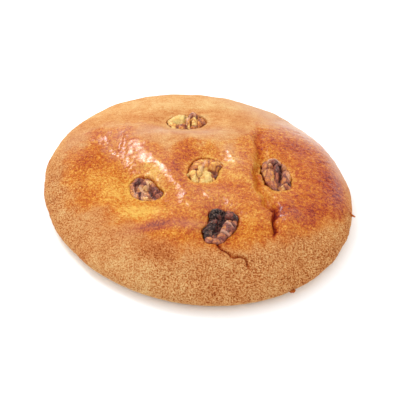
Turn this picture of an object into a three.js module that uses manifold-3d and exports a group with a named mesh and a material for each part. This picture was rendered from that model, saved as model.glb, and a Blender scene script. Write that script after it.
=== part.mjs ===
// A walnut cake: a low round loaf of sweet yeast dough, baked on a flat tray, with five walnut
// kernels pressed into its top before baking. The dough rose round each kernel, so each kernel sits
// in a pocket at the bottom of a dimple.
//
// Millimetres, +Z up. The origin is the centre of the base, on the surface that the loaf stands on.
// +X is the loaf's right and -Y its front.

import * as THREE from "three";
import { mergeVertices } from "three/addons/utils/BufferGeometryUtils.js";
import Module from "manifold-3d";

const wasm = await Module();
wasm.setup();

// ---- Driving dimensions of the loaf ----------------------------------------------------------

const LONG_RADIUS = 117; // half the longest way across, on a diagonal
const SHORT_RADIUS = 104;
const LONG_AXIS_TURN = -42; // degrees from +X to the longest way across
const HEIGHT = 32; // of the dome, before its swells and dimples
const BELLY_HEIGHT = 9; // where the side stands out furthest
const DOME_FLATNESS = 2.2; // 2 is an elliptical dome, more is flatter on top
const SHOULDER = 1.8; // 2 is a round shoulder, less is a softer one
const FOOT_SHARE = 0.93; // the flat foot's radius, as a share of the belly's
const TUCK = 2.2; // how late the side turns in under the belly: 1 is a straight slope

// ---- The walnut kernels ----------------------------------------------------------------------

// size is length, width and thickness; turn is the length's direction from +X, pitch tips the
// kernel's face towards the front, and sink is how far its middle lies under the dimple's bottom.
// broken lists the flat faces where the kernel snapped: a direction and how far out it lies, as a
// share of the half size.
const KERNELS = [
  {
    name: "walnut_back",
    at: [-6.6, 57.5],
    size: [31, 23, 14],
    turn: 4,
    pitch: 4,
    sink: 1.6,
    broken: [{ facing: [-0.6, -0.35, 0.75], share: 0.62 }],
  },
  {
    name: "walnut_centre",
    at: [6, -3],
    size: [31, 24, 15],
    turn: 48,
    pitch: 10,
    sink: 1.2,
    broken: [{ facing: [-0.75, 0.2, 0.6], share: 0.7 }],
  },
  {
    name: "walnut_left",
    at: [-36, -16.5],
    size: [29, 22, 14],
    turn: -42,
    pitch: 6,
    sink: 1,
    broken: [
      { facing: [0.75, 0.6, 0.2], share: 0.66 },
      { facing: [0.7, -0.65, 0.25], share: 0.72 },
    ],
  },
  {
    name: "walnut_right",
    at: [57.2, -4],
    size: [32, 23, 16],
    turn: 98,
    pitch: 12,
    sink: 1.2,
    broken: [],
  },
  {
    name: "walnut_front",
    at: [16, -55],
    size: [33, 23, 15],
    turn: 46,
    pitch: 8,
    sink: -0.6,
    broken: [{ facing: [0.1, 0.95, 0.15], share: 0.72 }],
  },
];
const SEAM_DEPTH = 0.2; // the groove between a kernel's two lobes, as a share of its half size
const SEAM_HALF_WIDTH = 0.2;
const FOLD_DEPTH = 0.06; // the folds across the lobes
const UNDERSIDE_SHARE = 0.75; // a kernel is flatter below
const POCKET_GAP = 0.4; // air between a kernel and its pocket
const POCKET_REACH = 30; // how far the pocket's mouth is cut upwards

// ---- The relief of the top -------------------------------------------------------------------

const DIMPLE_DEPTH = 3.2;
const DIMPLE_RADIUS = 18;

// Where the dough swelled between the kernels: place, height, half lengths along and across, turn.
const SWELLS = [
  { at: [-4, 26], height: 2.6, along: 40, across: 10, turn: 2 }, // behind the centre kernel
  { at: [-40, 9], height: 2.4, along: 34, across: 10, turn: -52 }, // behind the left kernel
  { at: [88, -21], height: 3, along: 40, across: 20, turn: 96 }, // the lobe at the right
  { at: [35, -47], height: 1.8, along: 20, across: 12, turn: 60 }, // beside the front kernel
];

// The valley between the middle and the right lobe, from back to front.
const VALLEY = [
  [46, 50],
  [45, -25],
  [53, -42],
  [48, -72],
];
const VALLEY_DEPTH = 3;
const VALLEY_HALF_WIDTH = 7;

// ---- Mesh fineness ---------------------------------------------------------------------------

const ROUND_STEPS = 84;
const SIDE_STEPS = 5;
const DOME_STEPS = 25;
const DOME_STEP_GROWTH = 1.25; // the rings lie closer together at the belly, where the dome is steep
const KERNEL_DETAIL = 4;
const POCKET_DETAIL = 3;

const degrees = THREE.MathUtils.degToRad;

// ---- Shape of the loaf -----------------------------------------------------------------------

// The belly's radius in a direction from the middle of the oval.
function ovalRadius(angle) {
  const turned = angle - degrees(LONG_AXIS_TURN);
  return (
    (LONG_RADIUS * SHORT_RADIUS) /
    Math.hypot(SHORT_RADIUS * Math.cos(turned), LONG_RADIUS * Math.sin(turned))
  );
}

// How far out a place lies: 0 in the oval's middle, 1 at the belly.
function shareOut(x, y) {
  return Math.hypot(x, y) / ovalRadius(Math.atan2(y, x));
}

function domeHeight(share) {
  const inside = Math.max(0, 1 - share ** DOME_FLATNESS);
  return BELLY_HEIGHT + (HEIGHT - BELLY_HEIGHT) * inside ** (1 / SHOULDER);
}

// A soft mound, 1 at its middle, along a turned line.
function mound(x, y, { at, along, across, turn }) {
  const c = Math.cos(degrees(turn));
  const s = Math.sin(degrees(turn));
  const u = (x - at[0]) * c + (y - at[1]) * s;
  const v = (y - at[1]) * c - (x - at[0]) * s;
  return Math.exp(-((u / along) ** 2) - (v / across) ** 2);
}

function distanceToValley(x, y) {
  const place = new THREE.Vector3(x, y, 0);
  const nearest = new THREE.Vector3();
  let least = Infinity;
  for (let i = 1; i < VALLEY.length; i++) {
    const stretch = new THREE.Line3(
      new THREE.Vector3(...VALLEY[i - 1], 0),
      new THREE.Vector3(...VALLEY[i], 0),
    );
    stretch.closestPointToPoint(place, true, nearest);
    least = Math.min(least, nearest.distanceTo(place));
  }
  return least;
}

// How much the top stands above or below its plain dome.
function relief(x, y) {
  const fade = 1 - THREE.MathUtils.smoothstep(shareOut(x, y), 0.8, 1);
  let height = 0;
  for (const swell of SWELLS) height += swell.height * mound(x, y, swell);
  for (const kernel of KERNELS) {
    const away = Math.hypot(x - kernel.at[0], y - kernel.at[1]);
    height -= DIMPLE_DEPTH * Math.exp(-((away / DIMPLE_RADIUS) ** 2));
  }
  height -=
    VALLEY_DEPTH * Math.exp(-((distanceToValley(x, y) / VALLEY_HALF_WIDTH) ** 2));
  return height * fade;
}

// ---- Solids ----------------------------------------------------------------------------------

// A geometry's shared vertices merged, so that it closes.
function closed(geometry) {
  geometry.deleteAttribute("normal");
  geometry.deleteAttribute("uv");
  return mergeVertices(geometry, 1e-4);
}

function solidOf(geometry) {
  return new wasm.Manifold(
    new wasm.Mesh({
      numProp: 3,
      vertProperties: new Float32Array(geometry.attributes.position.array),
      triVerts: new Uint32Array(geometry.index.array),
    }),
  );
}

function geometryOf(solid) {
  const mesh = solid.getMesh();
  return new THREE.BufferGeometry()
    .setAttribute("position", new THREE.BufferAttribute(mesh.vertProperties, 3))
    .setIndex(new THREE.BufferAttribute(mesh.triVerts, 1));
}

function eachVertex(geometry, change) {
  const position = geometry.attributes.position;
  const vertex = new THREE.Vector3();
  for (let i = 0; i < position.count; i++) {
    change(vertex.fromBufferAttribute(position, i));
    position.setXYZ(i, vertex.x, vertex.y, vertex.z);
  }
  return geometry;
}

// The loaf without pockets: a turned profile of unit radius, stretched to the oval, with its relief.
function loafGeometry() {
  const profile = [new THREE.Vector2(0, 0)];
  for (let i = 0; i < SIDE_STEPS; i++) {
    const down = 1 - i / SIDE_STEPS;
    const share = 1 - (1 - FOOT_SHARE) * down ** TUCK;
    profile.push(new THREE.Vector2(share, BELLY_HEIGHT * (1 - down)));
  }
  for (let i = 0; i <= DOME_STEPS; i++) {
    const share = 1 - (i / DOME_STEPS) ** DOME_STEP_GROWTH;
    profile.push(new THREE.Vector2(share, domeHeight(share)));
  }
  const turned = new THREE.LatheGeometry(profile, ROUND_STEPS).rotateX(Math.PI / 2);
  return eachVertex(closed(turned), (vertex) => {
    const radius = ovalRadius(Math.atan2(vertex.y, vertex.x));
    vertex.x *= radius;
    vertex.y *= radius;
    if (vertex.z > BELLY_HEIGHT) vertex.z += relief(vertex.x, vertex.y);
  });
}

// A kernel about its own middle, length along X: two lobes with a seam between them and folds
// across, snapped flat where it broke.
function kernelGeometry({ size, broken }) {
  const half = new THREE.Vector3(...size).multiplyScalar(0.5);
  const ball = closed(new THREE.IcosahedronGeometry(1, KERNEL_DETAIL));
  return eachVertex(ball, (vertex) => {
    const seam =
      Math.exp(-((vertex.y / SEAM_HALF_WIDTH) ** 2)) * Math.abs(vertex.z);
    const folds = Math.sin(9 * vertex.x + 2 * vertex.y) * Math.abs(vertex.y);
    vertex.multiplyScalar(1 - FOLD_DEPTH - SEAM_DEPTH * seam + FOLD_DEPTH * folds);
    for (const { facing, share } of broken) {
      const outward = new THREE.Vector3(...facing).normalize();
      const past = vertex.dot(outward) - share;
      if (past > 0) vertex.addScaledVector(outward, -past);
    }
    if (vertex.z < 0) vertex.z *= UNDERSIDE_SHARE;
    vertex.multiply(half);
  });
}

// The room that a kernel takes, open upwards: its round envelope and the straight way out of it.
function pocketSolid({ size }) {
  const [length, width, thickness] = size.map((side) => side / 2 + POCKET_GAP);
  const bowl = closed(new THREE.IcosahedronGeometry(1, POCKET_DETAIL));
  bowl.scale(length, width, thickness);
  eachVertex(bowl, (vertex) => {
    if (vertex.z < 0) vertex.z *= UNDERSIDE_SHARE;
  });
  const mouth = closed(new THREE.CylinderGeometry(1, 1, POCKET_REACH, 28));
  mouth.rotateX(Math.PI / 2).translate(0, 0, POCKET_REACH / 2);
  mouth.scale(length, width, 1);
  return solidOf(bowl).add(solidOf(mouth));
}

function kernelPlace({ at, turn, pitch, sink }) {
  const height = domeHeight(shareOut(...at)) + relief(...at) - sink;
  const tipped = new THREE.Matrix4().makeRotationX(degrees(pitch));
  const turned = new THREE.Matrix4().makeRotationZ(degrees(turn));
  return new THREE.Matrix4()
    .makeTranslation(at[0], at[1], height)
    .multiply(tipped)
    .multiply(turned);
}

// ---- Materials -------------------------------------------------------------------------------

const crust = new THREE.MeshStandardMaterial({
  color: 0xd2863f,
  roughness: 0.45,
  metalness: 0,
});
const kernelSkins = {
  walnut_back: 0xcf9a55,
  walnut_centre: 0xd6a860,
  walnut_left: 0x9a6a48,
  walnut_right: 0x94684c,
  walnut_front: 0x43362f,
};

function kernelSkin(name) {
  return new THREE.MeshStandardMaterial({
    color: kernelSkins[name],
    roughness: 0.55,
    metalness: 0,
  });
}

// ---- The cake --------------------------------------------------------------------------------

const cake = new THREE.Group();

let dough = solidOf(loafGeometry());
for (const kernel of KERNELS) {
  const place = kernelPlace(kernel);
  dough = dough.subtract(pocketSolid(kernel).transform(place.elements));

  const walnut = new THREE.Mesh(kernelGeometry(kernel), kernelSkin(kernel.name));
  walnut.name = kernel.name;
  place.decompose(walnut.position, walnut.quaternion, walnut.scale);
  cake.add(walnut);
}

const loaf = new THREE.Mesh(geometryOf(dough), crust);
loaf.name = "loaf";
cake.add(loaf);

export default cake;
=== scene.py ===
# %% [markdown]
# # A walnut cake
#
# A walnut cake of this kind is a low, round loaf of sweet yeast dough. The baker presses a few
# walnut kernels into it, brushes the middle of the top with egg and bakes it on a flat tray. The
# egg turns glossy and orange-brown, while the dry rim stays matt and grainy. This lesson models
# the loaf and its five kernels as meshes shaped by plain formulas, and gives each a procedural
# material.

# %% Load the frame
import math

import bmesh
import bpy
import numpy as np
from mathutils import Matrix, Vector, noise


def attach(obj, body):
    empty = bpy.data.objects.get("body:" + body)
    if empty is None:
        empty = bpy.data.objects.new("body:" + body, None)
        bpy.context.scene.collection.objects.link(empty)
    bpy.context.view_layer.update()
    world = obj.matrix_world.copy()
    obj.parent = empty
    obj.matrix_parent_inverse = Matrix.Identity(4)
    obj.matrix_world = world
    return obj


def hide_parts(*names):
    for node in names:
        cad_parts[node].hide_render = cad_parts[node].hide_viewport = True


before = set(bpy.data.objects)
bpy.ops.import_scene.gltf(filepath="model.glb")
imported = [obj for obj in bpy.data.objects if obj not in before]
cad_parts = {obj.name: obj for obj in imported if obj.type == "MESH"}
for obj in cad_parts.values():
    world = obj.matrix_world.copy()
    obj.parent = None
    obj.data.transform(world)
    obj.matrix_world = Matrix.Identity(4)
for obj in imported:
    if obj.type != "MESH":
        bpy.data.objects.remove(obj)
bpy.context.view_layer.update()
print("CAD nodes:", sorted(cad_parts))

# %% [markdown]
# ## Working in millimetres
#
# The dough's features are easiest to think of in millimetres, seen from above: x to the right
# and y to the back, from the middle of the base. The frame is in metres, so points are scaled
# only when they go into a mesh. Every field below is a function of two arrays, x and y, which
# makes it quick to work out for eighty thousand points at once.

# %% Small tools for fields
MM = 0.001


def smooth(low, high, value):
    """0 below low, 1 above high, with a soft rise between. low may be above high."""
    t = np.clip((value - low) / (high - low), 0, 1)
    return t * t * (3 - 2 * t)


def turned(x, y, turn, at=(0, 0)):
    """Places seen from a point, as lengths along and across a direction turned from +X."""
    c = math.cos(math.radians(turn))
    s = math.sin(math.radians(turn))
    dx = x - at[0]
    dy = y - at[1]
    return dx * c + dy * s, dy * c - dx * s


def lumps(x, y, size, seed, stretch=1.0, turn=0.0):
    """Soft random lumps from -1 to 1, about size mm across, longer by stretch along turn."""
    along, across = turned(x, y, turn)
    places = zip(along / (size * stretch), across / size)
    return np.array([noise.noise(Vector((a, b, seed))) for a, b in places])


def patch(x, y, at, along, across, turn=0.0):
    """A soft oval patch: 1 at its middle, falling to about a third at its half lengths."""
    u, v = turned(x, y, turn, at)
    u = u / along
    v = v / across
    return np.exp(-u * u - v * v)


def patches(x, y, table):
    """The sum of many patches: each row is (x, y), along, across, turn, amount."""
    total = np.zeros_like(x)
    for at, along, across, turn, amount in table:
        total += amount * patch(x, y, at, along, across, turn)
    return total


def along_path(x, y, path):
    """For each point: its distance to a path, how far along the path (0 to 1) its nearest place
    is, and the distance again with a sign, positive to the left of the path's direction."""
    path = np.array(path, float)
    lengths = np.hypot(*(path[1:] - path[:-1]).T)
    starts = np.concatenate([[0], np.cumsum(lengths)])
    best = np.full(x.shape, np.inf)
    where = np.zeros_like(x)
    side = np.zeros_like(x)
    for i, length in enumerate(lengths):
        dx, dy = (path[i + 1] - path[i]) / length
        u = np.clip((x - path[i, 0]) * dx + (y - path[i, 1]) * dy, 0, length)
        away_x = x - path[i, 0] - u * dx
        away_y = y - path[i, 1] - u * dy
        away = np.hypot(away_x, away_y)
        nearer = away < best
        best = np.where(nearer, away, best)
        where = np.where(nearer, (starts[i] + u) / starts[-1], where)
        side = np.where(nearer, np.sign(dx * away_y - dy * away_x), side)
    return best, where, best * side


def around(angle, reaches):
    """A closed outline's reach in a direction, from its reaches at equal steps from +X."""
    steps = len(reaches)
    t = np.mod(angle, 2 * math.pi) / (2 * math.pi) * steps
    low = np.floor(t).astype(int) % steps
    ease = 0.5 - 0.5 * np.cos(math.pi * (t - np.floor(t)))
    reaches = np.array(reaches, float)
    return reaches[low] * (1 - ease) + reaches[(low + 1) % steps] * ease


# %% [markdown]
# ## The outline and the dome
#
# Hand-shaped dough is never a true circle. The outline here is an oval with its long axis on a
# diagonal, and the dome over it is a flattened superellipse. These are the same numbers as in
# the CAD part, so the fine loaf fills the same space as the plain one.

# %% Outline and dome
LONG_RADIUS = 117.0
SHORT_RADIUS = 104.0
LONG_AXIS_TURN = -42.0
HEIGHT = 32.0
BELLY_HEIGHT = 9.0
DOME_FLATNESS = 2.2
SHOULDER = 1.8
FOOT_SHARE = 0.93
TUCK = 2.2


def oval_radius(angle):
    turned = angle - math.radians(LONG_AXIS_TURN)
    return LONG_RADIUS * SHORT_RADIUS / np.hypot(
        SHORT_RADIUS * np.cos(turned), LONG_RADIUS * np.sin(turned)
    )


def dome_height(share):
    inside = np.clip(1 - share**DOME_FLATNESS, 0, 1)
    return BELLY_HEIGHT + (HEIGHT - BELLY_HEIGHT) * inside ** (1 / SHOULDER)


def share_out(x, y):
    """How far out a place lies, from 0 in the middle to 1 at the belly."""
    return np.hypot(x, y) / oval_radius(np.arctan2(y, x))


print("outline:", 2 * LONG_RADIUS, "by", 2 * SHORT_RADIUS, "mm, dome", HEIGHT, "mm high")


# %% [markdown]
# ## The walnut kernels' places
#
# Each kernel is a half or a broken piece of a half. Its outline is given as twelve reaches, one
# each 30 degrees from +X, and its top as a heap of lobes, because a walnut is a heap of lobes:
# each lobe is a small dome with its own place, half lengths, turn, height and toast. Toast runs
# from 0, the cream flesh inside, through 0.3, tan, and 0.6, brown skin, to 1, charred.
# Veins are thin pale ridges and grooves are gaps between the lobes, coloured darker partly as
# the skin is and partly as painted shade: each has a path, a half width, and a height or depth.
# The other entries say how a kernel sits and how fine it is: `dimple` is the depth and reach of
# the hollow in the dough round it, `halo` how much paler the crust is at its edge, `sink` how
# far it lies below the dimple, `folds` how strong its small folds are, and `cells` the folds'
# size, stretch and turn. The dough needs these outlines first, because it hugs the kernels.

# %% The five kernels
KERNELS = {
    "walnut_back": {
        "at": (-6.6, 57.5),
        "reaches": [14.5, 13.5, 11.5, 10.5, 10, 13.5, 16, 14.5, 11, 10, 10.5, 12.5],
        "dimple": (3.0, 9.0),
        "halo": 0.1,
        "sink": 0.8,
        "folds": 0.4,
        "cells": (4.2, 1.0, 0),
        "lobes": [
            ((-6, 3.5), 8.5, 5.5, 8, 4.4, 0.0),
            ((-13, -3.5), 5, 4.5, -30, 2.4, 0.12),
            ((-4, -6.5), 4.5, 3.5, 0, 2.6, 0.5),
            ((0.5, -2), 2.5, 7.5, 8, 4.6, 0.26),
            ((5, -1), 3.5, 8, -4, 5.0, 0.06),
            ((4.5, 5), 5, 5, -20, 6.8, 0.66),
            ((10, -1.5), 4.5, 7, 10, 4.2, 0.38),
            ((4.5, -7.5), 3.5, 2.5, 0, 2.2, 0.62),
        ],
        "veins": [([(2.5, 6.5), (5.5, 3)], 0.9, 0.5), ([(-1, -5), (1.4, 3)], 0.8, 0.4)],
        "grooves": [([(-1.5, 5), (-0.8, 2)], 0.9, 1.6), ([(-0.8, -3), (-1.6, -7)], 0.6, 1.0),
                    ([(2.6, -2), (2.4, -7)], 0.5, 0.9), ([(7, 3), (6.6, -1)], 0.6, 1.0)],
    },
    "walnut_centre": {
        "at": (6, -3),
        "reaches": [9.8, 14.6, 14.4, 14.6, 13.2, 11.6, 11.6, 13.6, 14.4, 13, 12, 10.4],
        "dimple": (2.6, 8.0),
        "halo": 0.3,
        "sink": 1.2,
        "folds": 0.4,
        "cells": (4.6, 1.4, 40),
        "lobes": [
            ((-5, 5.5), 5.5, 7, -35, 4.0, 0.26),
            ((-8, -6), 6, 6.5, 20, 4.6, 0.04),
            ((-4, -5), 3.4, 5, 0, 5.4, 0.0),
            ((0.8, -7), 5, 7.5, -30, 4.4, 0.14),
            ((6, 5.5), 8.5, 6, -8, 6.2, 0.3),
            ((10.5, 2.5), 4.5, 3.5, 10, 4.4, 0.42),
            ((8, -5.4), 3.2, 4.5, -30, 3.0, 0.34),
        ],
        "veins": [([(0.8, 10), (-1, 4), (-2.4, -2.5)], 1.0, 0.9)],
        "grooves": [([(3, -1), (7, -1), (11, -1)], 0.9, 1.8),
                    ([(7.4, -2.6), (7.6, -7)], 1.1, 2.2), ([(-10, 0), (-4, -0.6)], 0.8, 1.2)],
    },
    "walnut_left": {
        "at": (-36, -16.5),
        "reaches": [8.2, 7.6, 9, 10.8, 13.2, 12.8, 11, 11.4, 11.8, 12.6, 14, 14.6],
        "dimple": (2.8, 10.0),
        "halo": 0.24,
        "sink": 1.4,
        "folds": 0.8,
        "cells": (3.6, 1.3, -40),
        "lobes": [
            ((-5.5, 8), 6, 4.4, 0, 4.6, 0.54),
            ((-9.2, 1), 4, 6, 10, 3.4, 0.34),
            ((0, 3.4), 5, 4.4, -30, 4.2, 0.22),
            ((6, 1), 4, 5, 50, 4.6, 0.42),
            ((7.6, -4), 3.4, 4, 40, 4.2, 0.56),
            ((10.4, -8), 5, 3.4, -45, 3.8, 0.62),
            ((-4, -7), 3.4, 5.5, 12, 3.6, 0.44),
            ((1.5, -9), 3.4, 4, 35, 3.0, 0.26),
            ((-9, -6), 3.5, 3.5, 0, 2.6, 0.3),
        ],
        "veins": [([(-5, 3), (-1, -2), (3.6, -7.4)], 0.9, 0.9), ([(-8, -1), (-6, -9)], 0.8, 0.7),
                  ([(-1, -4), (-1.4, -11)], 0.7, 0.6), ([(1, 7), (2.4, 0)], 0.7, 0.5)],
        "grooves": [([(-3, 4), (3, 1), (5, -5)], 0.8, 1.6), ([(-7, 4), (-6, -4)], 0.7, 1.4),
                    ([(-3, -4), (-3.4, -11)], 0.8, 1.4)],
    },
    "walnut_right": {
        "at": (57.2, -4),
        "reaches": [9.6, 9.8, 11.8, 16, 16.8, 12.2, 9.6, 10, 12.8, 17, 16.8, 12],
        "dimple": (2.6, 7.0),
        "halo": 0.26,
        "sink": 0.8,
        "folds": 0.45,
        "cells": (4.4, 1.6, 80),
        "lobes": [
            ((-2.6, 13), 7.5, 3.8, -12, 6.0, 0.5),
            ((-7.4, 7.4), 3.6, 4.4, 0, 4.6, 0.36),
            ((-4.2, 7), 2.8, 3, 0, 5.2, 0.22),
            ((-5.0, -1.0), 5, 7.5, 0, 5.0, 0.2),
            ((0.4, 2), 3.4, 11, -4, 6.4, 0.6),
            ((6, 8), 4.4, 5, -20, 6.0, 0.54),
            ((7, -3.4), 4.4, 9, -4, 5.4, 0.5),
            ((-4.6, -11), 4.8, 4, 10, 4.4, 0.4),
            ((-1.6, -15.4), 3, 2.6, 0, 3.4, 0.5),
            ((3.6, -14), 3, 2.8, 0, 4.0, 0.2),
            ((7, -12.6), 3.4, 3, 0, 4.0, 0.46),
        ],
        "veins": [([(-8, 10), (-2, 13.4), (4, 11.6)], 0.8, 0.6), ([(8, 4), (9, -6)], 0.8, 0.5)],
        "grooves": [([(2.6, 7), (2.8, 4.6)], 1.5, 3.0),
                    ([(2.6, 3), (2, -4.6), (0.4, -16)], 0.9, 2.6),
                    ([(3, -9.6), (9.6, -9.6)], 0.6, 1.2)],
    },
    "walnut_front": {
        "at": (16, -55),
        "reaches": [12.4, 14, 12, 12.4, 12.6, 8.4, 7.6, 14, 17.4, 16, 12, 11.4],
        "dimple": (2.0, 8.0),
        "halo": -0.06,
        "sink": -0.2,
        "folds": 0.5,
        "cells": (2.5, 2.0, 14),
        "lobes": [
            ((-2.4, 9), 7, 3.4, 8, 6.6, 0.96),
            ((-2.9, 3.6), 5.5, 2.6, 12, 6.4, 0.94),
            ((-4.2, -1.4), 5.5, 2.6, 16, 6.0, 0.92),
            ((-6.4, -5.6), 5.5, 2.6, 20, 5.2, 0.94),
            ((-10.6, -9.6), 4.5, 3.2, 20, 4.0, 0.98),
            ((-7.2, -13.6), 4, 2.6, -8, 3.2, 0.5),
            ((-2.6, -14.6), 4.4, 2.6, 4, 3.2, 0.46),
            ((7.2, 6.4), 6.5, 4.8, -12, 5.8, 0.78),
            ((5.5, -4), 6, 8, -35, 4.8, 0.54),
            ((10, -1), 3.5, 5.5, -20, 4.0, 0.58),
            ((1, -11.4), 5, 4, 0, 3.8, 0.52),
        ],
        "veins": [([(4, -1), (8, -4)], 0.8, 0.5), ([(1, -8), (6, -9)], 0.8, 0.5)],
        "grooves": [([(3.4, 9), (2.4, 2), (1.2, -3), (-3, -10.6)], 1.1, 2.4),
                    ([(3.6, 2), (12, 2.6)], 0.8, 1.5), ([(-9, -11.6), (-3, -11.6)], 0.6, 1.2)],
    },
}


def beyond(x, y, kernel):
    """How many mm outside a kernel's outline each point lies: negative inside it."""
    dx = x - kernel["at"][0]
    dy = y - kernel["at"][1]
    return np.hypot(dx, dy) - around(np.arctan2(dy, dx), kernel["reaches"])


print("kernels:", {name: len(kernel["lobes"]) for name, kernel in KERNELS.items()}, "lobes")


# %% [markdown]
# ## The relief of the top
#
# While it rises, the dough swells between the kernels and stays low round them. It also split
# a little on the right, where a valley ends in a deep crack. Each of these is a small function
# that returns millimetres up or down, and the loaf adds them together. Doing it with formulas,
# instead of sculpting by hand, keeps each one easy to move and to make deeper.

# %% Swells, terrace, dimples and pockets
SWELLS = [
    ((-4, 32), 44, 8, 2, 1.8),
    ((88, -12), 26, 44, 8, 2.4),
    ((35, -45), 12, 20, 10, 1.2),
    ((-84, 18), 16, 12, 0, 0.8),
    ((64, -46), 12, 8, 0, 1.2),
]
TERRACE = [(-8, -38), (-42, 9), (-68, 50)]
TERRACE_HEIGHT = 4.8
TERRACE_UPPER_SHARE = 0.4  # how much of the step rises above the dome
TERRACE_HALF_WIDTH = 10.0
TERRACE_REACH = 34.0
TERRACE_WIDENING = 0.5  # the step is half as wide and high again at its fullest place
TERRACE_FULLEST = 0.64  # as a share of its length
TERRACE_FULL_SHARE = 0.2
POCKET_DEPTH = 5.0
# Each fold: its path, its height, which is below 0 for a crease, and its half width.
FOLDS = [
    ([(-66, 46), (-62, 35), (-58, 24)], 1.3, 1.8),
    ([(-53, 43), (-56, 30), (-57, 20)], 1.3, 2.2),
    ([(-74, 32), (-69, 20)], 0.9, 1.6),
    ([(-89, 22), (-78, 17)], 0.6, 2.0),
    ([(-22, -31), (-19, -39), (-20, -48)], -1.2, 1.8),
    ([(5, -24), (9, -32), (14, -38)], 0.9, 1.6),
    ([(17, -30), (20, -38)], -0.9, 1.6),
    ([(22, 22), (27, 8), (32, 0)], 0.8, 2.0),
]


def terrace(x, y):
    """The middle of the loaf stands on a step that faces the left walnut."""
    away, where, side = along_path(x, y, TERRACE)
    from_fullest = (where - TERRACE_FULLEST) / TERRACE_FULL_SHARE
    widen = 1 + TERRACE_WIDENING * np.exp(-(from_fullest**2))
    half_width = TERRACE_HALF_WIDTH * widen
    step = smooth(-half_width, half_width, -side) - 1 + TERRACE_UPPER_SHARE
    settle = np.exp(-((away / TERRACE_REACH) ** 2))
    ends = smooth(0, 0.1, where) * smooth(1, 0.85, where)
    return TERRACE_HEIGHT * widen * step * settle * ends


def folds(x, y):
    """Short creases and ridges that the skin of egg pulled into the dough."""
    total = np.zeros_like(x)
    for path, height, half_width in FOLDS:
        away, where, _ = along_path(x, y, path)
        ends = smooth(0, 0.2, where) * smooth(1, 0.8, where)
        total += height * ends * np.exp(-((away / half_width) ** 2))
    return total


def dimples(x, y):
    depth = np.zeros_like(x)
    for kernel in KERNELS.values():
        deep, wide = kernel["dimple"]
        outside = np.clip(beyond(x, y, kernel), 0, None)
        depth += deep * np.exp(-((outside / wide) ** 2))
    return -depth


def pockets(x, y):
    depth = np.zeros_like(x)
    for kernel in KERNELS.values():
        depth = np.maximum(depth, smooth(0.5, -1.1, beyond(x, y, kernel)))
    return -POCKET_DEPTH * depth


# %% Valley and cracks
VALLEY = [(46, 52), (47, 20), (44, -12), (52, -40)]
CRACK = [(45, -22), (55, -48), (51, -70)]
SPLIT = [(12, -70), (24, -82), (30, -82), (38, -92)]
WANDER = 3.0  # mm where the noise is 1, though it mostly stays under a half
VALLEY_DEPTH = 3.8
VALLEY_HALF_WIDTH = 3.8
CREASE_DEPTH = 1.0  # the soft crease that the gash opens from
GASH_DEPTH = 3.6
LIP_HEIGHT = 1.4
LIP_FROM_GASH = 9.0
SPLIT_DEPTH = 1.8


def wander(x, y):
    """Places nudged by about a millimetre, so that a crack drawn straight tears unevenly."""
    return x + WANDER * lumps(x, y, 8, 15), y + WANDER * lumps(x, y, 8, 16)


def valley(x, y):
    away, where, _ = along_path(x, y, VALLEY)
    depth = VALLEY_DEPTH * smooth(0, 0.25, where)
    return -depth * np.exp(-((away / VALLEY_HALF_WIDTH) ** 2))


def crack(x, y):
    """A crease that opens into a gash, with its right lip pushed up."""
    away, where, side = along_path(x, y, CRACK)
    open_part = smooth(0.26, 0.45, where) * smooth(0.95, 0.75, where)
    soft = CREASE_DEPTH * np.exp(-((away / 3.0) ** 2)) * smooth(1, 0.8, where)
    sharp = GASH_DEPTH * open_part * np.exp(-((away / 0.9) ** 2))
    lip = LIP_HEIGHT * smooth(0, 0.3, where) * smooth(0.85, 0.6, where)
    lip = lip * np.exp(-(((side - LIP_FROM_GASH) / 4.5) ** 2))
    return lip - soft - sharp


def split(x, y):
    away, where, _ = along_path(x, y, SPLIT)
    depth = SPLIT_DEPTH * smooth(0, 0.06, where) * smooth(1, 0.8, where)
    return -depth * np.exp(-((away / 0.8) ** 2))


# %% [markdown]
# ## Where the egg went
#
# The baker brushed the egg on in a few broad strokes, so the glazed area is a union of large
# ovals, each an overlapping stroke. Where the brush was full, the egg lies thicker and shines.
# Random lumps make the edge ragged. One drawn outline could do the same, but strokes are easier
# to move about, and they leave the same kind of scalloped edge as a brush does.

# %% Where the egg wash reached
# Each stroke: its middle, half lengths along and across, and turn.
EGG_STROKES = [
    ((-52, -4), 52, 37, -40),
    ((-62, 34), 18, 15, -30),
    ((66, -3), 60, 46, 80),
    ((14, -32), 70, 43, 0),
    ((4, -2), 42, 25, 0),
]
THICK_EGG_STROKES = [
    ((-40, 22), 48, 22, -42),
    ((10, -14), 40, 50, 0),
    ((70, 6), 66, 44, 72),
]
THICK_EGG = [
    ((-38, 8), 30, 15, -48, 0.95),
    ((-62, 34), 12, 14, 0, 0.8),
    ((10, -32), 18, 10, 0, 1.0),
    ((28, 8), 10, 16, 0, 1.0),
    ((64, -46), 9, 5, 0, 0.65),
    ((99, -20), 7, 14, 0, 0.5),
    ((47, 14), 8, 15, 0, -0.35),
    ((86, 52), 34, 18, -42, 0.6),
]


def brushed(x, y, strokes, softness):
    """1 where a stroke of the brush left egg, 0 on the dry rim, with a ragged edge."""
    inside = np.full(x.shape, -np.inf)
    for at, along, across, turn in strokes:
        u, v = turned(x, y, turn, at)
        inside = np.maximum(inside, (1 - np.hypot(u / along, v / across)) * min(along, across))
    ragged = 9.0 * lumps(x, y, 19, 11) + 5.0 * lumps(x, y, 8, 12) + 2.5 * lumps(x, y, 3.5, 13)
    softness = softness * (1 - 0.6 * smooth(14, 26, y))
    return smooth(-softness, softness, inside - ragged)


# %% Rough dry crust and fine streaks
PORE_BASE = 0.12
PORES = [
    ((12, -98), 76, 26, 4, 1.0),
    ((78, -74), 36, 22, 40, 0.9),
    ((-100, -10), 26, 56, 5, 0.8),
    ((-66, -68), 40, 24, -35, 0.4),
    ((-72, 10), 22, 26, 0, 0.5),
    ((106, -40), 9, 22, -12, 0.7),
]
RIGHT_LOBE = (58, -6)


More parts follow.
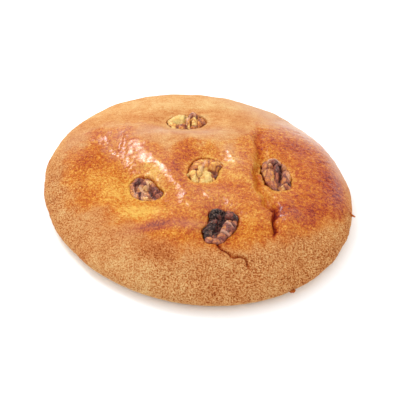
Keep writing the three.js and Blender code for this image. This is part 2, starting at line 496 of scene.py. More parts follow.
def pore_field(x, y):
    """1 where the dry crust is a coarse grain, near 0 where it was stretched smooth."""
    return np.clip(PORE_BASE + patches(x, y, PORES), 0, 1)


def lobe_streaks(x, y):
    """Fine wrinkles that run outwards from the right walnut over its lobe."""
    dx = x - RIGHT_LOBE[0]
    dy = y - RIGHT_LOBE[1]
    reach = np.hypot(dx, dy)
    window = smooth(11, 17, reach) * smooth(56, 40, reach) * smooth(46, 54, x)
    return window * lumps(np.arctan2(dy, dx) * 22, reach / 5, 2.2, 31)


# %% The relief added up
def relief(x, y, fields):
    inner = smooth(1.0, 0.86, share_out(x, y))
    back_strip = patch(x, y, (10, 56), 90, 26, 0)
    wrinkles = 0.4 * lumps(x, y, 2.6, 3, stretch=5, turn=4) * back_strip
    waves = 0.7 * lumps(x, y, 26, 1) + 0.3 * lumps(x, y, 9, 2)
    rim = 0.8 * lumps(x, y, 17, 7) + 0.3 * lumps(x, y, 6, 8)
    skin = (0.36 * lumps(x, y, 3.0, 4) + 0.2 * lumps(x, y, 1.8, 9)) * fields["glaze"]
    skin = skin * (1 - 0.6 * patch(x, y, (-38, 18), 18, 9, -48))
    grain = (0.25 * lumps(x, y, 2.1, 5) + 0.2 * lumps(x, y, 1.6, 6)) * fields["pore"]
    large = patches(x, y, SWELLS) + terrace(x, y) + dimples(x, y)
    torn_x, torn_y = wander(x, y)
    breaks = valley(torn_x, torn_y) + crack(torn_x, torn_y) + split(torn_x, torn_y)
    hollows = folds(x, y) + pockets(x, y)
    fine = wrinkles + skin + grain + 0.3 * lobe_streaks(x, y)
    return (large + breaks + hollows + waves) * inner + rim * (1 - inner) + fine


# %% [markdown]
# ## The loaf's mesh
#
# A round grid with its points on rings would crowd them in the middle and starve the rim. A
# square grid bent into a disc spreads them evenly, so the loaf starts from `create_grid`, and
# each point's distance from the middle becomes a distance along the loaf's profile: over the
# dome, round the belly and in to the foot. The grid's edge is then extruded inwards ring by
# ring to close the base.

# %% The profile from the top's middle to the foot
DOME_SAMPLES = 400
SIDE_SAMPLES = 80


def profile_points():
    """Shares of the radius and heights along the profile, from the middle out to the foot."""
    dome = np.sin(np.linspace(0, math.pi / 2, DOME_SAMPLES))
    down = np.linspace(0, 1, SIDE_SAMPLES)[1:]
    shares = np.concatenate([dome, 1 - (1 - FOOT_SHARE) * down**TUCK])
    heights = np.concatenate([dome_height(dome), BELLY_HEIGHT * (1 - down)])
    return shares, heights


PROFILE_SHARES, PROFILE_HEIGHTS = profile_points()
MEAN_RADIUS = (LONG_RADIUS + SHORT_RADIUS) / 2
steps = np.hypot(np.diff(PROFILE_SHARES) * MEAN_RADIUS, np.diff(PROFILE_HEIGHTS))
PROFILE_RUN = np.concatenate([[0], np.cumsum(steps)])
PROFILE_RUN /= PROFILE_RUN[-1]
print("profile from middle to foot:", round(float(steps.sum())), "mm")

# %% Bend the grid over the loaf
GRID_STEPS = 288
BASE_RINGS = [0.99, 0.965, 0.92, 0.82, 0.66, 0.45, 0.22]  # as shares of the foot's radius
BASE_UNEVENNESS = 0.25
BASE_MIDDLE = 0.3


def loaf_points(u, v):
    """Grid places u and v, from -1 to 1, to points on the loaf, with their fields."""
    disc_x = u * np.sqrt(1 - v * v / 2)
    disc_y = v * np.sqrt(1 - u * u / 2)
    angle = np.arctan2(disc_y, disc_x)
    run = np.clip(np.hypot(disc_x, disc_y), 0, 1)
    share = np.interp(run, PROFILE_RUN, PROFILE_SHARES)
    height = np.interp(run, PROFILE_RUN, PROFILE_HEIGHTS)
    radius = oval_radius(angle)
    x = share * radius * np.cos(angle)
    y = share * radius * np.sin(angle)
    fields = crust_fields(x, y, height)
    rise = relief(x, y, fields)
    nudge = 1e-3
    lean = np.interp(run - nudge, PROFILE_RUN, PROFILE_SHARES) - share
    drop = np.interp(run - nudge, PROFILE_RUN, PROFILE_HEIGHTS) - height
    steep = np.arctan2(drop, np.abs(lean) * radius + 1e-9)
    out = np.sin(steep) * rise
    x = x + out * np.cos(angle)
    y = y + out * np.sin(angle)
    z = height + np.cos(steep) * rise
    floor = smooth(0, 2.5, height)
    return x, y, np.maximum(z * floor, 0), fields


# %% [markdown]
# ## How the crust baked
#
# The crust's colour follows a few plain causes, and each becomes a number at each point of the
# mesh: `glaze` where the egg was brushed, `bake_and_painted_light` from 0, pale dough that stayed
# in the shade of a kernel, to 1, the deep red-brown of the right lobe, which also holds painted
# shade in the cracks and at the pockets' rims and a painted sheen on the back edge, and
# `pink_sheen`, a pale pink painted sheen where the crust catches the light at its edges and on a
# ridge. Two more say how it shines: `gloss` where the egg lies thick, and `pore` where the dry
# crust is a coarse grain. The material reads all five from the mesh, so they stay put on the
# loaf.

# %% Browning and blush
GLAZED_BAKE = [
    ((-34, -41), 17, 7, 5, -0.4),
    ((-29, -3), 16, 5, -52, -0.4),
    ((25, 7), 5, 8, 10, -0.3),
    ((26, -9), 7, 5, 0, -0.3),
    ((48, -24), 9, 6, -20, -0.3),
    ((35, -50), 10, 14, 0, -0.1),
    ((-66, -6), 22, 15, 0, -0.16),
    ((0, 12), 17, 9, 0, 0.16),
    ((-14, -4), 8, 15, 20, 0.16),
    ((70, 28), 18, 10, -10, 0.24),
    ((98, -14), 10, 22, 5, 0.34),
    ((84, -2), 28, 36, 0, 0.1),
    ((76, -40), 24, 12, 0, 0.22),
    ((58, -43), 8, 5, 0, 0.3),
    ((-27, -56), 14, 4, 12, 0.45),
    ((-80, 16), 10, 8, 0, 0.14),
    ((-66, 36), 8, 12, 0, 0.06),
    ((14, -42), 8, 5, 0, 0.1),
    ((20, 23), 15, 8, 0, -0.28),
    ((42, 8), 7, 20, 0, -0.1),
    ((-56, -22), 13, 13, 0, -0.22),
    ((-44, -42), 12, 9, 0, -0.2),
]
DRY_BAKE_AND_SHEEN = [
    ((8, -98), 60, 16, 3, 0.06),
    ((-24, -76), 18, 9, 0, 0.22),
    ((76, -74), 32, 16, 40, 0.06),
    ((-28, -56), 15, 5, 12, 0.35),
    ((-40, -92), 30, 16, -20, -0.14),
    ((-30, 60), 12, 5, 0, 0.12),
    ((0, 70), 26, 4, 0, 0.18),
    ((-10, -62), 50, 12, 0, 0.06),
    # painted sheen: paler towards the back edge, as the back of the dome looks at a grazing angle
    ((0, 84), 90, 22, 0, -0.2),
    ((16, 30), 26, 8, 0, -0.06),
]
# Painted sheen: pale pink where the crust catches the light, along the back right edge, the right
# edge and the ridge behind the middle, and in smaller places.
SHEEN_PATCHES = [
    ((-8, 40), 34, 7, 0, 0.8),
    ((70, 68), 48, 16, -38, 1.3),
    ((103, 14), 7, 22, 10, 0.7),
    ((-30, -56), 18, 5, 12, 0.3),
    ((-4, -56), 14, 4, 0, 0.3),
    ((-90, 40), 10, 20, 0, 0.3),
]


EGG_SOFTNESS = 8
THICK_EGG_SOFTNESS = 7
THICK_EGG_BASE = 0.35
GLAZED_BASE = 0.46
DRY_BASE = 0.37
STREAK_BAKE = 0.16
HALO_REACH = 3.5
# painted shade at the pockets' rims and down their walls
POCKET_PAINTED_SHADE = 0.7
BAKE_LIMIT = 0.8
RIM_BAKE = 0.16
FOOT_BAKE = 0.75
# Each line: its path, half width, how much darker it is, and where along the path it begins.
# Painted shade: the crack, the split and the valley are drawn darker, as shade falls into them.
CREASE_SHADE_LINES = [
    (CRACK, 1.1, 0.5, 0.24),
    (SPLIT, 0.75, 0.55, 0.0),
    (VALLEY, 2.2, 0.2, 0.0),
]


def crust_fields(x, y, height):
    side = smooth(6, 12, height)
    glaze = brushed(x, y, EGG_STROKES, EGG_SOFTNESS) * side
    full_brush = brushed(x, y, THICK_EGG_STROKES, THICK_EGG_SOFTNESS) * side
    gloss = full_brush * (THICK_EGG_BASE + patches(x, y, THICK_EGG))
    pore = pore_field(x, y) * (1 - 0.6 * glaze)
    glazed_bake = GLAZED_BASE + patches(x, y, GLAZED_BAKE) + STREAK_BAKE * lobe_streaks(x, y)
    dry_bake_and_sheen = DRY_BASE + patches(x, y, DRY_BAKE_AND_SHEEN)
    bake_and_painted_light = glazed_bake * glaze + dry_bake_and_sheen * (1 - glaze)
    bake_and_painted_light = bake_and_painted_light + 0.12 * lumps(x, y, 14, 21) + 0.1 * lumps(x, y, 6, 22)
    for kernel in KERNELS.values():
        outside = beyond(x, y, kernel)
        from_edge = np.clip(outside, 0, None) / HALO_REACH
        bake_and_painted_light = bake_and_painted_light - kernel["halo"] * np.exp(-(from_edge**2))
        # Painted shade: the crust is drawn darker at each pocket's rim and down its wall, where
        # the kernel and the rim shade it.
        bake_and_painted_light = bake_and_painted_light + POCKET_PAINTED_SHADE * smooth(0.7, -0.6, outside)
    bake_and_painted_light = np.clip(bake_and_painted_light, 0, BAKE_LIMIT)
    torn_x, torn_y = wander(x, y)
    # Painted shade along the crack, split and valley, which also get less coat and grain.
    for path, width, amount, start in CREASE_SHADE_LINES:
        away, where, _ = along_path(torn_x, torn_y, path)
        ends = smooth(start, start + 0.15, where) * smooth(1, 0.85, where)
        line = ends * np.exp(-((away / width) ** 2))
        bake_and_painted_light = bake_and_painted_light + amount * line
        gloss = gloss * (1 - line)
        pore = pore * (1 - line)
    rim = smooth(9, 5, height)
    bake_and_painted_light = bake_and_painted_light * (1 - rim) + RIM_BAKE * rim
    foot = smooth(1.6, 0.4, height)
    bake_and_painted_light = bake_and_painted_light * (1 - foot) + FOOT_BAKE * foot
    return {
        "glaze": glaze,
        "gloss": np.clip(gloss, 0, 1),
        "pore": pore,
        "bake_and_painted_light": np.clip(bake_and_painted_light, 0, 1),
        "pink_sheen": np.clip(patches(x, y, SHEEN_PATCHES), 0, 1),
    }


# %% Make the loaf
def add_field(mesh, name, values):
    layer = mesh.attributes.new(name, "FLOAT", "POINT")
    layer.data.foreach_set("value", np.asarray(values, np.float32))


def finish_piece(bm, name, body="root"):
    """A bmesh as a smooth-shaded object that rides on a body."""
    mesh = bpy.data.meshes.new(name)
    bm.to_mesh(mesh)
    bm.free()
    mesh.polygons.foreach_set("use_smooth", [True] * len(mesh.polygons))
    piece = bpy.data.objects.new(name, mesh)
    bpy.context.scene.collection.objects.link(piece)
    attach(piece, body)
    return piece


BASE_FIELDS = {"glaze": 0.0, "gloss": 0.0, "pore": 0.6, "bake_and_painted_light": 0.62, "pink_sheen": 0.0}


def make_loaf():
    bm = bmesh.new()
    bmesh.ops.create_grid(bm, x_segments=GRID_STEPS, y_segments=GRID_STEPS, size=1)
    u, v = np.array([vert.co[:2] for vert in bm.verts]).T
    x, y, z, fields = loaf_points(u, v)
    for vert, place in zip(bm.verts, zip(x, y, z)):
        vert.co = Vector(place) * MM
    top_count = len(bm.verts)
    edges = [edge for edge in bm.edges if edge.is_boundary]
    reach = 1.0
    for ring in BASE_RINGS:
        made = bmesh.ops.extrude_edge_only(bm, edges=edges)["geom"]
        verts = [g for g in made if isinstance(g, bmesh.types.BMVert)]
        edges = [g for g in made if isinstance(g, bmesh.types.BMEdge)]
        for vert in verts:
            flat = vert.co * (ring / reach)
            rough = 1 + noise.noise(flat * 90)
            lift = BASE_UNEVENNESS * MM * rough * min(1, (1 - ring) * 12)
            vert.co = Vector((flat.x, flat.y, lift))
        reach = ring
    last = bmesh.ops.extrude_edge_only(bm, edges=edges)["geom"]
    tip = [g for g in last if isinstance(g, bmesh.types.BMVert)]
    bmesh.ops.pointmerge(bm, verts=tip, merge_co=Vector((0, 0, BASE_MIDDLE * MM)))
    bmesh.ops.recalc_face_normals(bm, faces=bm.faces)
    extra = len(bm.verts) - top_count
    loaf = finish_piece(bm, "loaf_crust")
    for name, base in BASE_FIELDS.items():
        add_field(loaf.data, name, np.concatenate([fields[name], np.full(extra, base)]))
    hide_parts("loaf")
    return loaf


loaf = make_loaf()
print("loaf triangles:", sum(len(p.vertices) - 2 for p in loaf.data.polygons))

# %% [markdown]
# ## Two loose flakes
#
# Two scraps of crust cling to the rim: a thin curl at the right and a crumb at the front. Each is
# a small icosphere, flattened, bent and roughened, with its inner end inside the loaf.

# %% Flakes on the rim
FLAKE_FIELDS = {"glaze": 0.5, "gloss": 0.0, "pore": 0.3, "bake_and_painted_light": 0.62, "pink_sheen": 0.0}
# Each flake: its place, half size and turns about Z and Y.
FLAKES = {
    "flake_right": ((108.9, -29.6, 12.0), (3.2, 0.8, 0.8), (-38, 20)),
    "flake_front": ((63.6, -96.6, 6.5), (2.4, 2.0, 1.0), (-56, -12)),
}


def make_flake(name, at, half_size, turns, seed):
    bm = bmesh.new()
    bmesh.ops.create_icosphere(bm, subdivisions=4, radius=1)
    about_z = Matrix.Rotation(math.radians(turns[0]), 3, "Z")
    about_y = Matrix.Rotation(math.radians(turns[1]), 3, "Y")
    turn = about_z @ about_y
    for vert in bm.verts:
        rough = 1 + 0.35 * noise.noise(vert.co * 2.2 + Vector((seed, 0, 0)))
        place = Vector(half * c * rough for half, c in zip(half_size, vert.co))
        place.z += 0.06 * place.x * place.x
        vert.co = (turn @ place + Vector(at)) * MM
    bmesh.ops.recalc_face_normals(bm, faces=bm.faces)
    count = len(bm.verts)
    flake = finish_piece(bm, name)
    for field, value in FLAKE_FIELDS.items():
        add_field(flake.data, field, np.full(count, value))
    return flake


flakes = [make_flake(name, *spec, 3 * i) for i, (name, spec) in enumerate(FLAKES.items())]
print("flakes:", [flake.name for flake in flakes])


# %% [markdown]
# ## The kernels' meshes
#
# A fine icosphere keeps its points evenly spread, so each kernel starts as one. Every point's
# place seen from above is stretched to the kernel's outline. Its height is that of the lobes'
# union there, which leaves a crease wherever two lobes meet, as on a real walnut. Veins,
# grooves and fine folds are added last. The lobe that won also gives the point its toast.

# %% The top of a kernel
KERNEL_DETAIL = 6
LOBE_STEEPNESS = 1.4
LOBE_SOFTNESS = 0.28
UNDERSIDE = 5.0
CLEARANCE = 0.4
WARP = 1.1
FINE_WARP = 0.5


def dough_height(x, y):
    """The dough's height before any pocket or dimple."""
    return dome_height(share_out(x, y)) + patches(x, y, SWELLS) + terrace(x, y)


def lobe_union(x, y, lobes):
    """Height, toast and crease of the lobes' soft union, x and y from the kernel's middle. A
    lobe has its full height in its middle and about none at its half lengths."""
    weights = 0.0
    warmth = 0.0
    strongest = np.zeros_like(x)
    for at, along, across, turn, rise, lobe_toast in lobes:
        u, v = turned(x, y, turn, at)
        u = u / along
        v = v / across
        dome = rise * (1.6 - 0.6 * (1 + u * u + v * v) ** LOBE_STEEPNESS)
        weight = np.exp(np.clip(dome, -8, 8) / LOBE_SOFTNESS)
        weights = weights + weight
        warmth = warmth + weight * lobe_toast
        strongest = np.maximum(strongest, weight)
    crease = smooth(1.0, 0.5, strongest / weights)
    return LOBE_SOFTNESS * np.log(weights), warmth / weights, crease


def lines(x, y, table):
    """The sum of thin ridges along paths, and how much each point belongs to one of them."""
    height = np.zeros_like(x)
    share = np.zeros_like(x)
    for path, half_width, amount in table:
        away, _, _ = along_path(x, y, path)
        line = np.exp(-((away / half_width) ** 2))
        height += amount * line
        share = np.maximum(share, line)
    return height, share


def cell_pattern(x, y, size, stretch, turn, seed):
    """A walnut's small folds: the distance from each point to its cell's border, in cells, and
    a random number from -1 to 1 that is the same all over a cell."""
    along, across = turned(x, y, turn)
    border = np.zeros_like(x)
    tone = np.zeros_like(x)
    for i, (a, b) in enumerate(zip(along / (size * stretch), across / size)):
        distances, points = noise.voronoi(Vector((a, b, seed)))
        border[i] = distances[1] - distances[0]
        tone[i] = noise.cell(points[0] * 7.3)
    return border, tone


# %% Make a kernel
def make_kernel(name, spec, seed):
    bm = bmesh.new()
    bmesh.ops.create_icosphere(bm, subdivisions=KERNEL_DETAIL, radius=1)
    ball = np.array([vert.co for vert in bm.verts])
    angle = np.arctan2(ball[:, 1], ball[:, 0])
    level = np.hypot(ball[:, 0], ball[:, 1])
    uneven = 1 + 0.1 * lumps(ball[:, 0], ball[:, 1], 0.24, seed)
    reach = (around(angle, spec["reaches"]) - CLEARANCE) * uneven
    x = reach * level * np.cos(angle)
    y = reach * level * np.sin(angle)
    warp_x = x + WARP * lumps(x, y, 3.4, seed + 1)
    warp_y = y + WARP * lumps(x, y, 3.4, seed + 2)
    top, toast, crease = lobe_union(warp_x, warp_y, spec["lobes"])
    vein_rise, pale_mark = lines(warp_x, warp_y, spec["veins"])
    groove_depth, groove = lines(warp_x, warp_y, spec["grooves"])
    bent_x = warp_x + FINE_WARP * lumps(x, y, 1.5, seed + 5)
    bent_y = warp_y + FINE_WARP * lumps(x, y, 1.5, seed + 6)
    border, tone = cell_pattern(bent_x, bent_y, *spec["cells"], seed + 3)
    wrinkles = 1 - 2.4 * np.abs(lumps(x, y, 1.4, seed + 4))
    fine = spec["folds"] * (1.5 * smooth(0, 0.45, border) - 1.0 + 0.3 * wrinkles)
    body = np.sqrt(np.clip(1 - level**4, 0, 1))
    upper = np.maximum(top - 0.9 * crease + fine + vein_rise - groove_depth, -0.5) * body
    z = np.where(ball[:, 2] >= 0, upper, -UNDERSIDE * body)
    x = x + spec["at"][0]
    y = y + spec["at"][1]
    z = z + dough_height(x, y) - spec["dimple"][0] - spec["sink"]
    for vert, place in zip(bm.verts, np.stack([x, y, z], axis=1) * MM):
        vert.co = place
    bmesh.ops.recalc_face_normals(bm, faces=bm.faces)
    kernel = finish_piece(bm, name + "_kernel")
    # The creases, the folds' gaps and the grooves are drawn darker: partly the skin's darker
    # furrows, partly painted shade.
    gap = smooth(0.18, 0.0, border) * spec["folds"]
    # The folds' crests are drawn paler: partly the skin's paler ridges, partly a painted
    # highlight.
    crest = smooth(0.35, 0.7, border) * smooth(0.2, 0.9, wrinkles)
    add_field(kernel.data, "toast", toast + 0.2 * tone)
    add_field(kernel.data, "crease", np.clip(crease + gap + groove, 0, 1) * (1 - pale_mark))
    add_field(kernel.data, "pale_mark", np.clip(pale_mark + 0.5 * crest, 0, 1))
    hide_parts(name)
    return kernel


kernels = {}
for index, (name, spec) in enumerate(KERNELS.items()):
    kernels[name] = make_kernel(name, spec, 40 + 10 * index)
    print(name, [round(d * 1000, 1) for d in kernels[name].dimensions], "mm")


# %% [markdown]
# ## Material tools
#
# A few helpers keep the node trees short: each makes one kind of node, sets its values and
# returns the socket to use next. Colours are given as they look on a screen, from 0 to 255, and
# turned into the linear values that the shader needs.

# %% Node helpers
STUDIO_LIGHT = 1.3  # how bright a white card on the floor would look


def colour(red, green, blue, shine=0.025, light=STUDIO_LIGHT):
    """The shader's linear RGBA for a surface that looks like this screen colour in the studio
    light, when shine is the share of white light that its gloss adds."""
    screen = [((c / 255 + 0.055) / 1.055) ** 2.4 for c in (red, green, blue)]
    return (*[max(c - shine, 0.15 * c) / light for c in screen], 1.0)


class Tree:
    """A material's node tree, with short calls for the nodes that this lesson uses."""

    def __init__(self, name):
        self.material = bpy.data.materials.new(name)
        self.material.use_nodes = True
        self.nodes = self.material.node_tree.nodes
        self.links = self.material.node_tree.links
        self.shader = self.nodes["Principled BSDF"]
        self.place = self.nodes.new("ShaderNodeTexCoord").outputs["Object"]

    def feed(self, socket, value):
        if isinstance(value, bpy.types.NodeSocket):
            self.links.new(value, socket)
        else:
            socket.default_value = value

    def field(self, name):
        node = self.nodes.new("ShaderNodeAttribute")
        node.attribute_name = name
        return node.outputs["Fac"]

    def math(self, operation, first, second=0.0, clamp=False):
        node = self.nodes.new("ShaderNodeMath")
        node.operation = operation
        node.use_clamp = clamp
        self.feed(node.inputs[0], first)
        self.feed(node.inputs[1], second)
        return node.outputs[0]

    def add_share(self, base, extra, share):
        """base plus a share of extra."""
        return self.math("ADD", base, self.math("MULTIPLY", extra, share))

    def stretched(self, factors):
        """The object coordinates scaled by three factors, for a pattern longer one way."""
        node = self.nodes.new("ShaderNodeMapping")
        self.links.new(self.place, node.inputs["Vector"])
        node.inputs["Scale"].default_value = factors
        return node.outputs["Vector"]

    def noise(self, size_mm, detail=3.0, roughness=0.55, distortion=0.0, place=None):
        node = self.nodes.new("ShaderNodeTexNoise")
        self.links.new(place or self.place, node.inputs["Vector"])
        node.inputs["Scale"].default_value = 1 / (size_mm * MM)
        node.inputs["Detail"].default_value = detail
        node.inputs["Roughness"].default_value = roughness
        node.inputs["Distortion"].default_value = distortion
        return node.outputs["Fac"]

    def range(self, value, low, high, to_low=0.0, to_high=1.0):
        node = self.nodes.new("ShaderNodeMapRange")
        self.feed(node.inputs["Value"], value)
        node.inputs["From Min"].default_value = low
        node.inputs["From Max"].default_value = high
        node.inputs["To Min"].default_value = to_low
        node.inputs["To Max"].default_value = to_high
        return node.outputs["Result"]

    def ramp(self, value, stops):
        node = self.nodes.new("ShaderNodeValToRGB")
        self.feed(node.inputs["Fac"], value)
        elements = node.color_ramp.elements
        while len(elements) < len(stops):
            elements.new(0.5)
        for element, (position, rgba) in zip(elements, stops):
            element.position = position
            element.color = rgba
        return node.outputs["Color"]

    def mix(self, share, first, second, blend="MIX"):
        node = self.nodes.new("ShaderNodeMix")
        node.data_type = "RGBA"
        node.blend_type = blend
        self.feed(node.inputs[0], share)
        self.feed(node.inputs[6], first)
        self.feed(node.inputs[7], second)
        return node.outputs[2]

    def bump(self, height, distance_mm, under=None):
        node = self.nodes.new("ShaderNodeBump")
        node.inputs["Distance"].default_value = distance_mm * MM
        self.feed(node.inputs["Height"], height)
        if under is not None:
            self.links.new(under, node.inputs["Normal"])
        return node.outputs["Normal"]


# %% [markdown]
# ## The crust
#
# Dry crust is a fine grain of tan and brown specks with tiny pores, matt and rough. Glazed
# crust is smoother: its colour runs from yellow through orange to red-brown, and dried egg lies
# over it like thin varnish, which is what the shader's coat is for. The `glaze` field mixes
# the two, the `bake_and_painted_light` field picks the colour on both, painted shade and sheen
# included, and the `gloss` field sets how much coat there is. `pore` makes the grain stronger,
# and `pink_sheen` lays on the pink of the painted sheen.

# %% Crust material
DRY_COLOURS = [
    (0.0, colour(250, 214, 152)),
    (0.25, colour(238, 178, 116)),
    (0.45, colour(222, 148, 91)),
    (0.65, colour(201, 115, 66)),
    (0.85, colour(164, 80, 44)),
    (1.0, colour(118, 54, 30)),
]
EGG_SHINE = 0.05
GLAZED_COLOURS = [
    (0.0, colour(252, 200, 108, EGG_SHINE)),
    (0.22, colour(240, 166, 88, EGG_SHINE)),
    (0.42, colour(226, 138, 70, EGG_SHINE)),
    (0.6, colour(210, 114, 56, EGG_SHINE)),
    (0.8, colour(190, 88, 42, EGG_SHINE)),
    (1.0, colour(142, 58, 32, EGG_SHINE)),
]
CREAM = colour(252, 208, 150)
# the pale pink of the painted sheen
SHEEN_PINK = colour(228, 190, 168)


def crust_material():
    tree = Tree("egg_washed_crust")
    glaze = tree.field("glaze")
    gloss = tree.field("gloss")
    pore = tree.field("pore")
    grain = tree.noise(1.0, detail=3, roughness=0.75)
    pit = tree.range(grain, 0.44, 0.66, -0.2, 0.6)
    flecks = tree.noise(1.9, detail=4, roughness=0.75, distortion=0.8)
    mottle = tree.range(flecks, 0.36, 0.64, -0.5, 0.5)
    long_way = tree.stretched((0.2, 1, 1))
    streak = tree.range(tree.noise(1.5, detail=3, place=long_way), 0.35, 0.65, -0.5, 0.5)
    bake_and_painted_light = tree.field("bake_and_painted_light")
    bake_and_painted_light = tree.add_share(bake_and_painted_light, pit, tree.range(pore, 0, 1, 0.22, 0.86))
    bake_and_painted_light = tree.add_share(bake_and_painted_light, mottle, tree.range(glaze, 0, 1, 0.14, 0.62))
    bake_and_painted_light = tree.add_share(bake_and_painted_light, streak, tree.range(pore, 0, 0.5, 0.16, 0))
    base = tree.mix(glaze, tree.ramp(bake_and_painted_light, DRY_COLOURS), tree.ramp(bake_and_painted_light, GLAZED_COLOURS))
    light_speck = tree.math("MULTIPLY", tree.range(grain, 0.42, 0.32, 0, 0.5), pore)
    base = tree.mix(light_speck, base, CREAM)
    # Painted sheen: the pale pink laid over the crust's colour.
    base = tree.mix(tree.math("MULTIPLY", tree.field("pink_sheen"), 0.56), base, SHEEN_PINK)
    tree.feed(tree.shader.inputs["Base Color"], base)
    tree.feed(tree.shader.inputs["Roughness"], tree.range(glaze, 0, 1, 0.85, 0.5))
    tree.shader.inputs["Specular IOR Level"].default_value = 0.12
    coat = tree.math("MULTIPLY", gloss, tree.range(mottle, -0.5, 0.5, 0.6, 1.0))
    tree.feed(tree.shader.inputs["Coat Weight"], coat)
    tree.shader.inputs["Coat Roughness"].default_value = 0.16
    tree.shader.inputs["Coat IOR"].default_value = 1.5
    coarse = tree.bump(mottle, 0.3)
    pit_depth = tree.math("MULTIPLY", pit, tree.range(pore, 0, 1, -0.2, -0.6))
    fine = tree.bump(pit_depth, 0.6, under=coarse)
    tree.feed(tree.shader.inputs["Normal"], fine)
    return tree.material


crust = crust_material()
for piece in [loaf, *flakes]:
    piece.data.materials.append(crust)
print("crust nodes:", len(crust.node_tree.nodes))

# %% [markdown]
# ## The kernels' finish
#
# Walnut flesh is cream where it snapped, and its skin goes from tan to purple-brown as it
# toasts, then to blue-black where it burns. A ramp over the `toast` field runs through these
# colours: one ramp for the two pale kernels, and a browner one for the other three. Fine noise
# breaks it up. The creases between lobes are darker, partly as the skin is darker in its
# furrows and partly as painted shade, and the veins and fold crests are pale, the crests partly
# as a painted highlight, with fine pale specks as painted glints.

# %% Kernel material
POCKET_LIGHT = 0.92  # less light reaches into the pockets


def walnut_colour(red, green, blue):
    return colour(red, green, blue, shine=0.03, light=POCKET_LIGHT)


PALE_FLESH = [
    (0.0, walnut_colour(255, 222, 140)),
    (0.18, walnut_colour(252, 192, 102)),
    (0.38, walnut_colour(226, 142, 74)),
    (0.56, walnut_colour(190, 108, 68)),
    (0.76, walnut_colour(140, 76, 62)),
    (1.0, walnut_colour(56, 48, 52)),
]
BROWN_SKIN = [
    (0.0, walnut_colour(254, 214, 150)),
    (0.2, walnut_colour(236, 158, 84)),
    (0.38, walnut_colour(214, 138, 88)),
    (0.56, walnut_colour(184, 110, 90)),
    (0.76, walnut_colour(136, 76, 70)),
    (1.0, walnut_colour(54, 48, 54)),
]
VEIN_AND_GLINT = walnut_colour(250, 204, 174)
FURROW_SKIN_AND_SHADE = walnut_colour(84, 40, 26)


def kernel_material(name, toast_colours):
    tree = Tree(name)
    fine = tree.range(tree.noise(1.0, detail=3, roughness=0.65), 0.36, 0.64, -0.5, 0.5)
    broad = tree.range(tree.noise(2.4, detail=3, distortion=0.8), 0.36, 0.64, -0.5, 0.5)
    toast = tree.field("toast")
    toast = tree.add_share(toast, fine, 0.26)
    toast = tree.add_share(toast, broad, 0.24)
    # Darker in the creases: partly the skin's darker furrows, partly painted shade.
    crease = tree.field("crease")
    toast = tree.add_share(toast, crease, 0.36)
    base = tree.ramp(toast, toast_colours)
    # Pale marks: the skin's veins and fold crests, and fine specks that are painted glints.
    pale_mark = tree.math("ADD", tree.field("pale_mark"), tree.range(fine, 0.2, 0.5, 0, 0.6))
    base = tree.mix(tree.math("MULTIPLY", pale_mark, 0.6, clamp=True), base, VEIN_AND_GLINT)
    base = tree.mix(tree.math("MULTIPLY", crease, 0.5), base, FURROW_SKIN_AND_SHADE)
    tree.feed(tree.shader.inputs["Base Color"], base)
    tree.feed(tree.shader.inputs["Roughness"], tree.range(fine, -0.5, 0.5, 0.34, 0.6))
    tree.feed(tree.shader.inputs["Normal"], tree.bump(fine, 0.7))
    tree.shader.inputs["Specular IOR Level"].default_value = 0.2
    tree.shader.inputs["Coat Weight"].default_value = 0.35
    tree.shader.inputs["Coat Roughness"].default_value = 0.25
    return tree.material


SLOTS = {
    "walnut_back": "walnut_pale",
    "walnut_centre": "walnut_pale",
    "walnut_left": "walnut_brown",
    "walnut_right": "walnut_brown",
    "walnut_front": "walnut_dark",
}
for name, kernel in kernels.items():
    toast_colours = PALE_FLESH if SLOTS[name] == "walnut_pale" else BROWN_SKIN
    kernel.data.materials.append(kernel_material(name + "_skin", toast_colours))
print("kernel materials:", [kernel.data.materials[0].name for kernel in kernels.values()])

# %% [markdown]
# ## Floor, light and camera
#
# The loaf stands on a plain white floor in soft light from all round, with two square lamps at
# the back left, a large one and a small one in the same direction. The small one sharpens the
# bright band that they draw on the glazed step, and both leave a soft shadow in each pocket's
# left side. The camera is long and looks down from the front.

# %% Floor
FLOOR_WHITE = (0.96, 0.96, 0.96, 1)


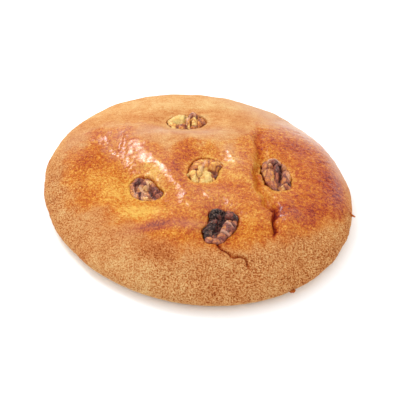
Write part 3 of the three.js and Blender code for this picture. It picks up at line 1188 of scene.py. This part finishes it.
def make_floor():
    bm = bmesh.new()
    bmesh.ops.create_grid(bm, x_segments=1, y_segments=1, size=4)
    mesh = bpy.data.meshes.new("floor")
    bm.to_mesh(mesh)
    bm.free()
    floor = bpy.data.objects.new("floor", mesh)
    bpy.context.scene.collection.objects.link(floor)
    white = bpy.data.materials.new("white_floor")
    white.use_nodes = True
    shader = white.node_tree.nodes["Principled BSDF"]
    shader.inputs["Base Color"].default_value = FLOOR_WHITE
    shader.inputs["Roughness"].default_value = 0.9
    floor.data.materials.append(white)


make_floor()

# %% Lights
SKY = 1.28
LAMP_DIRECTION = (-0.45, 0.45, 0.77)


def make_sky():
    world = bpy.data.worlds.new("studio")
    world.use_nodes = True
    background = world.node_tree.nodes["Background"]
    background.inputs["Color"].default_value = (1, 1, 1, 1)
    background.inputs["Strength"].default_value = SKY
    bpy.context.scene.world = world


def soft_lamp(name, direction, distance, size, watts, target=(0, 0, 0.02)):
    """A square lamp in a direction from the target, facing it."""
    data = bpy.data.lights.new(name, "AREA")
    data.size = size
    data.energy = watts
    lamp = bpy.data.objects.new(name, data)
    away = Vector(direction).normalized()
    lamp.location = Vector(target) + away * distance
    lamp.rotation_euler = away.to_track_quat("Z", "Y").to_euler()
    bpy.context.scene.collection.objects.link(lamp)


make_sky()
soft_lamp("key", LAMP_DIRECTION, 1.2, 0.5, 4.6)
soft_lamp("window", LAMP_DIRECTION, 1.15, 0.2, 1.9)
print("lamps:", [lamp.name for lamp in bpy.data.lights])

# %% Camera
ELEVATION = 43.0
DISTANCE = 0.75
LENS = 94.5
SENSOR_WIDTH = 36
TARGET = Vector((0.0027, -0.0146, 0.012))


def make_camera():
    data = bpy.data.cameras.new("camera")
    data.lens = LENS
    data.sensor_width = SENSOR_WIDTH
    camera = bpy.data.objects.new("camera", data)
    rise = math.radians(ELEVATION)
    back = Vector((0, -math.cos(rise), math.sin(rise)))
    camera.location = TARGET + back * DISTANCE
    camera.rotation_euler = back.to_track_quat("Z", "Y").to_euler()
    bpy.context.scene.collection.objects.link(camera)
    bpy.context.scene.camera = camera


make_camera()
print("camera:", LENS, "mm lens,", DISTANCE, "m away,", ELEVATION, "degrees up")
bpy.context.scene.view_settings.view_transform = "Standard"

# %% Sizes and finish
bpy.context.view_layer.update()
for piece in [loaf, *kernels.values()]:
    print(piece.name, "top", round(max(v.co.z for v in piece.data.vertices) * 1000, 1))
